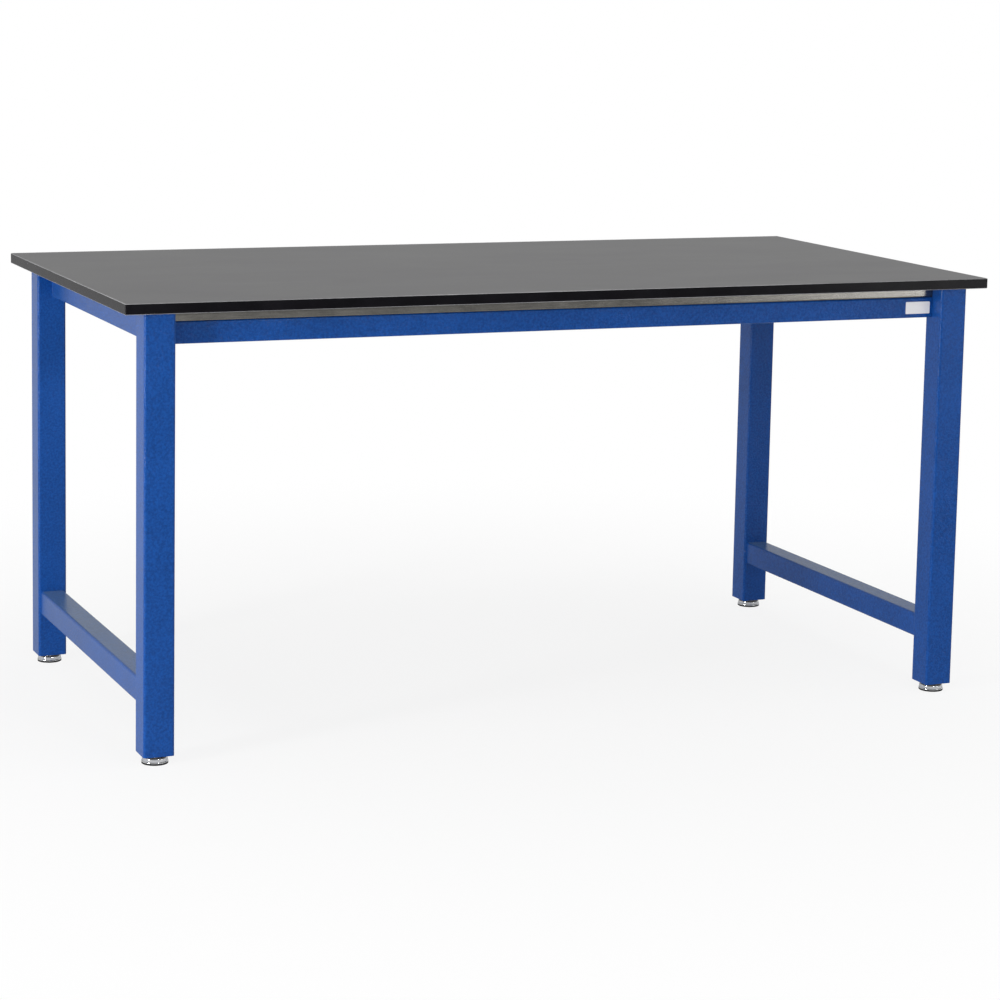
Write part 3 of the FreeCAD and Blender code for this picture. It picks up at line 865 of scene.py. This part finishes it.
class LABBENCH_OT_channels(Operator):
    """Fold the bare steel channels that carry the slab"""
    bl_idname = "lab_bench.channels"
    bl_label = "Channels"

    def execute(self, context):
        sizes = context.scene.bench_frame
        screws = context.scene.bench_fasteners
        drilled = ((screws.top_screw_end, screws.top_screw_radius + screws.hole_clearance),
                   (screws.channel_screw_end, screws.channel_screw_radius))
        for depth in DEPTHS:
            node = "channel_" + depth
            low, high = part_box(node)
            outer, inner = (low.y, high.y) if depth == "front" else (high.y, low.y)
            outline = [(low.x, inner, low.z), (low.x, outer, low.z), (low.x, outer, high.z),
                       (low.x, inner, high.z)]
            bm = folded(outline, (high.x - low.x, 0.0, 0.0), sizes.channel_bend)
            channel = piece("strip_" + node, bm, "mill_steel", replaces=(node,))
            inwards(channel, sizes.channel_wall, (low + high) / 2)
            for (end_distance, radius), height in zip(drilled, (high.z, low.z)):
                points = screw_points(screws, [depth], end_distance, height)
                holes(channel, points, radius, UP, sizes.channel_wall * DRILL_WALLS)
            smooth(channel)
        return {"FINISHED"}


class LABBENCH_OT_brackets(Operator):
    """Fold the corner brackets that bolt the stringers to the end rails"""
    bl_idname = "lab_bench.brackets"
    bl_label = "Corner brackets"

    def execute(self, context):
        sizes = context.scene.bench_frame
        for corner in CORNERS:
            node = "corner_bracket_" + corner
            heel, tips = bracket_ends(corner)
            outline = [(tips.x, heel.y, heel.z), heel, (heel.x, tips.y, heel.z)]
            bm = folded(outline, (0.0, 0.0, tips.z - heel.z), sizes.bracket_bend)
            bracket = coated("angle_" + node, bm, replaces=(node,))
            inwards(bracket, sizes.bracket_wall, (heel + tips) / 2)
            for member in ("stringer", "end_rail"):
                bolt_holes(context.scene.bench_fasteners, bracket, [corner], member,
                           sizes.bracket_wall)
            smooth(bracket)
        return {"FINISHED"}


class LABBENCH_OT_fasteners(Operator):
    """Make the flange bolts and the screws with chamfered hex heads"""
    bl_idname = "lab_bench.fasteners"
    bl_label = "Fasteners"

    BOLT_CHAMFER = 0.15     # of the head's height
    SCREW_CHAMFER = 0.14    # of the head's height
    CONE = 0.54             # of the flats: where a flange's slope meets the head
    BOLT_TIP = 0.0008       # chamfer at the end of a bolt
    SCREW_TIP = 0.6         # of the radius, at the end of a screw
    FLANGE_STEPS = 36
    BOLT_STEPS = 24
    SCREW_STEPS = 20

    def execute(self, context):
        sizes = context.scene.bench_frame
        screws = context.scene.bench_fasteners
        self.bolts(screws, sizes)
        low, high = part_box("channel_front")
        for kind, node, seat, hanging in (
                ("channel_screw", "channel_screws", low.z + sizes.channel_wall, False),
                ("top_screw", "worktop_screws", high.z - sizes.channel_wall, True)):
            self.screws(screws, kind, node, seat, hanging)
        dressed(["bracket_nuts"], "zinc")
        dressed(["worktop_inserts"], "brass")
        return {"FINISHED"}

    def bolts(self, screws, sizes):
        """The flange bolts, two on each leg of each bracket."""
        flange_top = screws.bolt_flange_height
        one = hex_blank(screws.bolt_flats, screws.bolt_head, screws.bolt_head * self.BOLT_CHAMFER)
        moved(one, (0.0, 0.0, flange_top))
        join(one, spun([(0.0, 0.0), (screws.bolt_flange, 0.0), (screws.bolt_flange, flange_top / 2),
                        (screws.bolt_flats * self.CONE, flange_top), (0.0, flange_top)],
                       self.FLANGE_STEPS))
        radius = screws.bolt_radius
        reach = sizes.bracket_wall + sizes.tube_wall + screws.nut_height
        self.shank(one, flange_top / 2, radius, reach, radius - self.BOLT_TIP, self.BOLT_TIP,
                   self.BOLT_STEPS)
        places = []
        for corner in CORNERS:
            for member in ("stringer", "end_rail"):
                points, way = bolts_on(screws, corner, member)
                places += [Matrix.Translation(point + way * sizes.bracket_wall) @ facing(way)
                           for point in points]
        everything = bmesh.new()
        join(everything, one, places)
        piece("flange_bolts", everything, "zinc", replaces=("bracket_bolts",))

    def screws(self, screws, kind, node, seat, hanging):
        """A row of hex screws along each channel, seated at a height, with heads up or hanging."""
        flats, radius, end_distance = (getattr(screws, kind + part)
                                       for part in ("_flats", "_radius", "_end"))
        low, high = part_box(node)
        head, reach, turn = high.z - seat, seat - low.z, UNTURNED
        if hanging:
            head, reach, turn = reach, head, Matrix.Rotation(math.pi, 4, "X")
        one = hex_blank(flats, head, head * self.SCREW_CHAMFER)
        self.shank(one, head / 3, radius, reach, radius * self.SCREW_TIP, radius / 3,
                   self.SCREW_STEPS)
        everything = bmesh.new()
        points = screw_points(screws, DEPTHS, end_distance, seat)
        join(everything, one, [Matrix.Translation(point) @ turn for point in points])
        piece("hex_" + node, everything, "zinc", replaces=(node,))

    def shank(self, head, buried, radius, reach, tip, taper, steps):
        """Add a shank that starts buried in the head and ends in a taper to the radius tip."""
        join(head, spun([(0.0, buried), (radius, buried), (radius, -reach + taper), (tip, -reach),
                         (0.0, -reach)], steps))


class LABBENCH_OT_feet(Operator):
    """Finish the foot plates and bushes in the legs"""
    bl_idname = "lab_bench.feet"
    bl_label = "Foot plates and bushes"

    def execute(self, context):
        for group in ("foot_plate_", "thread_bush_"):
            dressed([group + corner for corner in CORNERS], "plate_steel")
        return {"FINISHED"}


class LABBENCH_OT_glides(Operator):
    """Make the levelling glides: pressed cups, moulded pads and threaded stems"""
    bl_idname = "lab_bench.glides"
    bl_label = "Levelling glides"

    CUP_STEPS = 72
    STEM_STEPS = 32
    THREAD_STEPS = 24
    SHOULDER_STEPS = 8      # facets across each rounding, here of the cup's shoulder
    CEILING_STEPS = 6       # the shoulder's inside
    BEAD_STEPS = 6
    TREAD_STEPS = 4
    EDGE_STEPS = 3          # plug and swaged foot, and the bead's fillet
    HOLE_STEPS = 2
    HOLE_EDGE = 0.0002      # rounding of the hole in the cup
    BEAD_ROUND = 0.98       # of the bead's radius
    BEAD_FILLET = 0.3       # of the bead's radius, where it meets the cup's wall
    TREAD = 0.8             # of the bead's radius, by which the pad reaches past the wall
    RELIEF_START = 0.0008   # above the collar, where the neck begins to narrow to the root
    RELIEF_END = 0.0012     # and where it has done so
    THREAD_START = 0.0004   # above the collar
    THREAD_END = 0.001      # below the tip
    THREAD_BURIED = 0.0002  # of the ridge, inside the root
    RIDGE = (0.02, 0.44, 0.56, 0.98)    # its foot, crest, crest and foot, of the pitch

    def execute(self, context):
        sizes = context.scene.bench_glides
        for corner in CORNERS:
            low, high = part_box("glide_cup_" + corner)
            place = Vector(((low.x + high.x) / 2, (low.y + high.y) / 2, 0.0))
            outside = (high.x - low.x) / 2 - sizes.cup_bead
            rim = max(low.z, sizes.pad_shown)
            cup = self.cup(sizes, outside, rim, high.z)
            pad = self.pad(sizes, outside, rim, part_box("glide_pad_" + corner)[1].z)
            low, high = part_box("glide_stem_" + corner)
            stem = self.stem(sizes, low.z, high.z)
            for name, bm, node, body, material, slot, sharp in (
                    ("pressed_cup_", cup, "glide_cup_", "glide_", "chrome", "chrome", 50.0),
                    ("moulded_pad_", pad, "glide_pad_", "glide_", "nylon", "black_nylon", 50.0),
                    ("threaded_stem_", stem, "glide_stem_", "stem_", "zinc", "zinc_steel", 40.0)):
                piece(name + corner, moved(bm, place), material, body=body + corner,
                      replaces=(node + corner,), sharp=sharp)
        return {"FINISHED"}

    def cup(self, sizes, outside, rim, top):
        """A pressed cup, open below, with a rolled bead round its rim."""
        hole = sizes.stem_radius
        inside = outside - sizes.cup_wall
        lip = outside + sizes.cup_bead
        bead_top = rim + 2 * sizes.cup_bead
        ceiling = top - sizes.cup_wall
        bm = spun([(hole, top), (outside, top), (outside, bead_top), (lip, bead_top), (lip, rim),
                   (inside, rim), (inside, ceiling), (hole, ceiling)], self.CUP_STEPS)
        round_rings(bm, [(outside, top)], sizes.cup_shoulder, self.SHOULDER_STEPS)
        round_rings(bm, [(inside, ceiling)], sizes.cup_shoulder - sizes.cup_wall,
                    self.CEILING_STEPS)
        round_rings(bm, [(lip, bead_top), (lip, rim)], sizes.cup_bead * self.BEAD_ROUND,
                    self.BEAD_STEPS)
        round_rings(bm, [(outside, bead_top)], sizes.cup_bead * self.BEAD_FILLET,
                    self.EDGE_STEPS)
        round_rings(bm, [(hole, top), (hole, ceiling)], self.HOLE_EDGE, self.HOLE_STEPS)
        return bm

    def pad(self, sizes, outside, rim, top):
        """A moulded pad: a round tread with a plug that fills the cup."""
        inside = outside - sizes.cup_wall - sizes.pad_gap
        tread = outside + sizes.cup_bead * self.TREAD
        bm = spun([(0.0, 0.0), (tread, 0.0), (tread, rim), (inside, rim), (inside, top),
                   (0.0, top)], self.CUP_STEPS)
        round_rings(bm, [(tread, 0.0)], sizes.pad_edge, self.TREAD_STEPS)
        round_rings(bm, [(inside, top)], sizes.pad_edge, self.EDGE_STEPS)
        return bm

    def stem(self, sizes, low, high):
        """A swaged foot, a neck, a hex collar and a threaded shank."""
        foot, neck, edge = sizes.foot_radius, sizes.stem_radius, sizes.foot_edge
        foot_high = low + sizes.foot_height
        collar_high = sizes.collar_low + sizes.collar_height
        root = neck - sizes.thread_depth
        bm = spun([(0.0, low), (foot, low), (foot, foot_high), (neck, foot_high),
                   (neck, collar_high + self.RELIEF_START), (root, collar_high + self.RELIEF_END),
                   (root, high - edge), (root - edge, high), (0.0, high)], self.STEM_STEPS)
        round_rings(bm, [(foot, low), (foot, foot_high)], edge, self.EDGE_STEPS)
        collar = hex_blank(sizes.collar_flats, sizes.collar_height, sizes.collar_chamfer)
        join(bm, moved(collar, (0.0, 0.0, sizes.collar_low)))
        join(bm, self.thread(sizes, root, collar_high + self.THREAD_START, high - self.THREAD_END))
        return bm

    def thread(self, sizes, root, low, high):
        """A helical ridge round the root, closed at both ends."""
        pitch = sizes.thread_pitch
        turns = int((high - low) / pitch) - 1
        buried, crest = root - self.THREAD_BURIED, sizes.stem_radius
        bm = bmesh.new()
        corners = [bm.verts.new((radius, 0.0, low + pitch * rise))
                   for radius, rise in zip((buried, crest, crest, buried), self.RIDGE)]
        bmesh.ops.spin(bm, geom=[bm.faces.new(corners)], cent=ORIGIN, axis=UP,
                       dvec=(0.0, 0.0, pitch / self.THREAD_STEPS),
                       angle=math.tau * turns, steps=turns * self.THREAD_STEPS)
        close_ends(bm)
        bmesh.ops.recalc_face_normals(bm, faces=bm.faces)
        return bm


class LABBENCH_OT_label(Operator):
    """Stick the bare label on the front stringer"""
    bl_idname = "lab_bench.label"
    bl_label = "Label"

    def execute(self, context):
        low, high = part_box("label")
        size = high - low
        bm = rounded_sheet(size.x, size.z, context.scene.bench_frame.label_radius, FOLD_STEPS)
        thicken(bm, size.y)
        rims = [edge for edge in bm.edges
                if min(vert.co.z for vert in edge.verts) > size.y / 2]
        bevel(bm, rims, size.y / 3, segments=2)
        turn = Matrix.Rotation(math.pi / 2, 4, "X")
        moved(bm, ((low.x + high.x) / 2, high.y, (low.z + high.z) / 2), turn)
        piece("label_plain", bm, "label_film", replaces=("label",), sharp=50.0)
        return {"FINISHED"}


# ---- Stage ----

def ray(tree, kind):
    """1 for rays of a kind, 0 for all others."""
    return put(tree, "ShaderNodeLightPath").outputs[kind]


def seen_directly(tree):
    """1 for camera, glossy and transmission rays, 0 for the rays that light a surface."""
    either = combined(tree, "MAXIMUM", ray(tree, "Is Camera Ray"), ray(tree, "Is Glossy Ray"))
    return combined(tree, "MAXIMUM", either, ray(tree, "Is Transmission Ray"))


def background(tree, studio, place, front, back):
    """The background's strength: white to the camera, and softer in metal and gloss.

    Where Y is below front lies the dimmer room behind the camera, and it gives way to the
    background until Y reaches back.
    """
    y = put(tree, "ShaderNodeSeparateXYZ", {0: place}).outputs["Y"]
    soft = between(tree, y, studio.reflected_room, studio.reflected, front, back, "SMOOTHSTEP")
    return between(tree, ray(tree, "Is Camera Ray"), soft, 1.0, 0.0, 1.0)


class LABBENCH_OT_stage(Operator):
    """Set up the floor, the lamps, the world and the camera"""
    bl_idname = "lab_bench.stage"
    bl_label = "Stage"

    FLOOR_STEPS = 96
    ROOM_ON_FLOOR = (-3.0, 0.0)     # Y on the floor between room and background, metres
    ROOM_IN_WORLD = (-0.4, 0.2)     # and the same for a direction's Y
    SENSOR = 36.0                   # mm
    CLIP = (0.1, 60.0)              # nearest and furthest that the camera sees, metres

    def execute(self, context):
        studio = context.scene.bench_studio
        self.floor(studio)
        self.world(context, studio)
        for name in LAMPS:
            self.lamp(studio, name)
        self.camera(context, studio)
        context.scene.view_settings.view_transform = "Standard"
        return {"FINISHED"}

    def floor(self, studio):
        bm = bmesh.new()
        bmesh.ops.create_circle(bm, cap_ends=True, segments=self.FLOOR_STEPS,
                                radius=studio.floor_radius)
        floor = linked("floor", mesh_of(bm, "floor"))
        floor.data.materials.append(self.floor_paint(studio))

    def floor_paint(self, studio):
        """Matt white paint that shows shadows near the bench and fades to pure white further out.

        To the camera it fades by letting the white world through, so that a glide screwed out
        below it stays in sight.
        """
        material = bpy.data.materials.new("floor_paint")
        material.use_nodes = True
        tree = material.node_tree
        tree.nodes.clear()
        place = put(tree, "ShaderNodeTexCoord").outputs["Object"]
        away = put(tree, "ShaderNodeVectorMath", {0: place}, operation="LENGTH").outputs["Value"]
        near = between(tree, away, 1.0, 0.0, studio.shadow_start, studio.shadow_radius,
                       "SMOOTHSTEP")
        camera = ray(tree, "Is Camera Ray")
        depth = between(tree, camera, studio.reflected_depth, studio.shadow_depth, 0.0, 1.0)
        fade = combined(tree, "SUBTRACT", 1.0, combined(tree, "MULTIPLY", near, depth))
        seen = combined(tree, "MULTIPLY", fade, seen_directly(tree))
        strength = background(tree, studio, place, *self.ROOM_ON_FLOOR)
        white = put(tree, "ShaderNodeEmission", {"Color": WHITE, "Strength": strength})
        clear = put(tree, "ShaderNodeBsdfTransparent")
        paint = put(tree, "ShaderNodeBsdfDiffuse", {"Color": (*studio.floor, 1.0)})
        beyond = put(tree, "ShaderNodeMixShader",
                     {0: camera, 1: white.outputs[0], 2: clear.outputs[0]})
        mix = put(tree, "ShaderNodeMixShader",
                  {0: seen, 1: paint.outputs[0], 2: beyond.outputs[0]})
        put(tree, "ShaderNodeOutputMaterial", {"Surface": mix.outputs[0]})
        return material

    def world(self, context, studio):
        """Soft light from all round, seen as white."""
        world = bpy.data.worlds.new("studio")
        world.use_nodes = True
        tree = world.node_tree
        tree.nodes.clear()
        way = put(tree, "ShaderNodeTexCoord").outputs["Generated"]
        shown = background(tree, studio, way, *self.ROOM_IN_WORLD)
        strength = between(tree, seen_directly(tree), studio.fill, shown, 0.0, 1.0)
        light = put(tree, "ShaderNodeBackground", {"Color": WHITE, "Strength": strength})
        put(tree, "ShaderNodeOutputWorld", {"Surface": light.outputs[0]})
        context.scene.world = world

    def lamp(self, studio, name):
        """A soft lamp of a width and height, turned to the target."""
        place, size, power = (getattr(studio, name + part)
                              for part in ("_place", "_size", "_power"))
        lamp = bpy.data.lights.new(name, "AREA")
        lamp.shape = "RECTANGLE"
        lamp.size, lamp.size_y = size
        lamp.energy = power
        holder = linked(name, lamp)
        holder.location = place
        towards = Vector(studio.target) - Vector(place)
        holder.rotation_euler = towards.to_track_quat("-Z", "Y").to_euler()

    def camera(self, context, studio):
        data = bpy.data.cameras.new("camera")
        data.sensor_width = self.SENSOR
        data.lens = studio.camera_lens
        data.shift_y = studio.camera_shift
        data.clip_start, data.clip_end = self.CLIP
        camera = linked("camera", data)
        camera.location = studio.camera_place
        camera.rotation_euler = Euler(studio.camera_turn, "XYZ")
        context.scene.camera = camera


# ---- Add-on ----

GROUPS = {"bench_frame": FrameSizes, "bench_fasteners": FastenerSizes, "bench_glides": GlideSizes,
          "bench_finishes": Finishes, "bench_studio": Studio}
OPERATORS = (LABBENCH_OT_worktop, LABBENCH_OT_end_frames, LABBENCH_OT_weld_beads,
             LABBENCH_OT_stringers, LABBENCH_OT_channels, LABBENCH_OT_brackets,
             LABBENCH_OT_fasteners, LABBENCH_OT_feet, LABBENCH_OT_glides, LABBENCH_OT_label,
             LABBENCH_OT_stage)


class LABBENCH_PT_sidebar(Panel):
    """Sizes, colours and pieces of the lab bench"""
    bl_idname = "LABBENCH_PT_sidebar"
    bl_label = "Lab Bench"
    bl_space_type = "VIEW_3D"
    bl_region_type = "UI"
    bl_category = "Lab Bench"

    def draw(self, context):
        for name, group in GROUPS.items():
            box = self.layout.box()
            box.label(text=name.removeprefix("bench_").capitalize())
            for setting in group.__annotations__:
                box.prop(getattr(context.scene, name), setting)
        column = self.layout.column(align=True)
        for operator in OPERATORS:
            column.operator(operator.bl_idname)


def register():
    for name, group in GROUPS.items():
        bpy.utils.register_class(group)
        setattr(bpy.types.Scene, name, PointerProperty(type=group))
    for shown in (*OPERATORS, LABBENCH_PT_sidebar):
        bpy.utils.register_class(shown)


def unregister():
    for shown in (LABBENCH_PT_sidebar, *reversed(OPERATORS)):
        bpy.utils.unregister_class(shown)
    for name, group in GROUPS.items():
        delattr(bpy.types.Scene, name)
        bpy.utils.unregister_class(group)


def main():
    register()
    bpy.ops.lab_bench.worktop()
    bpy.ops.lab_bench.end_frames()
    bpy.ops.lab_bench.weld_beads()
    bpy.ops.lab_bench.stringers()
    bpy.ops.lab_bench.channels()
    bpy.ops.lab_bench.brackets()
    bpy.ops.lab_bench.fasteners()
    bpy.ops.lab_bench.feet()
    bpy.ops.lab_bench.glides()
    bpy.ops.lab_bench.label()
    bpy.ops.lab_bench.stage()


if __name__ == "__main__":
    main()
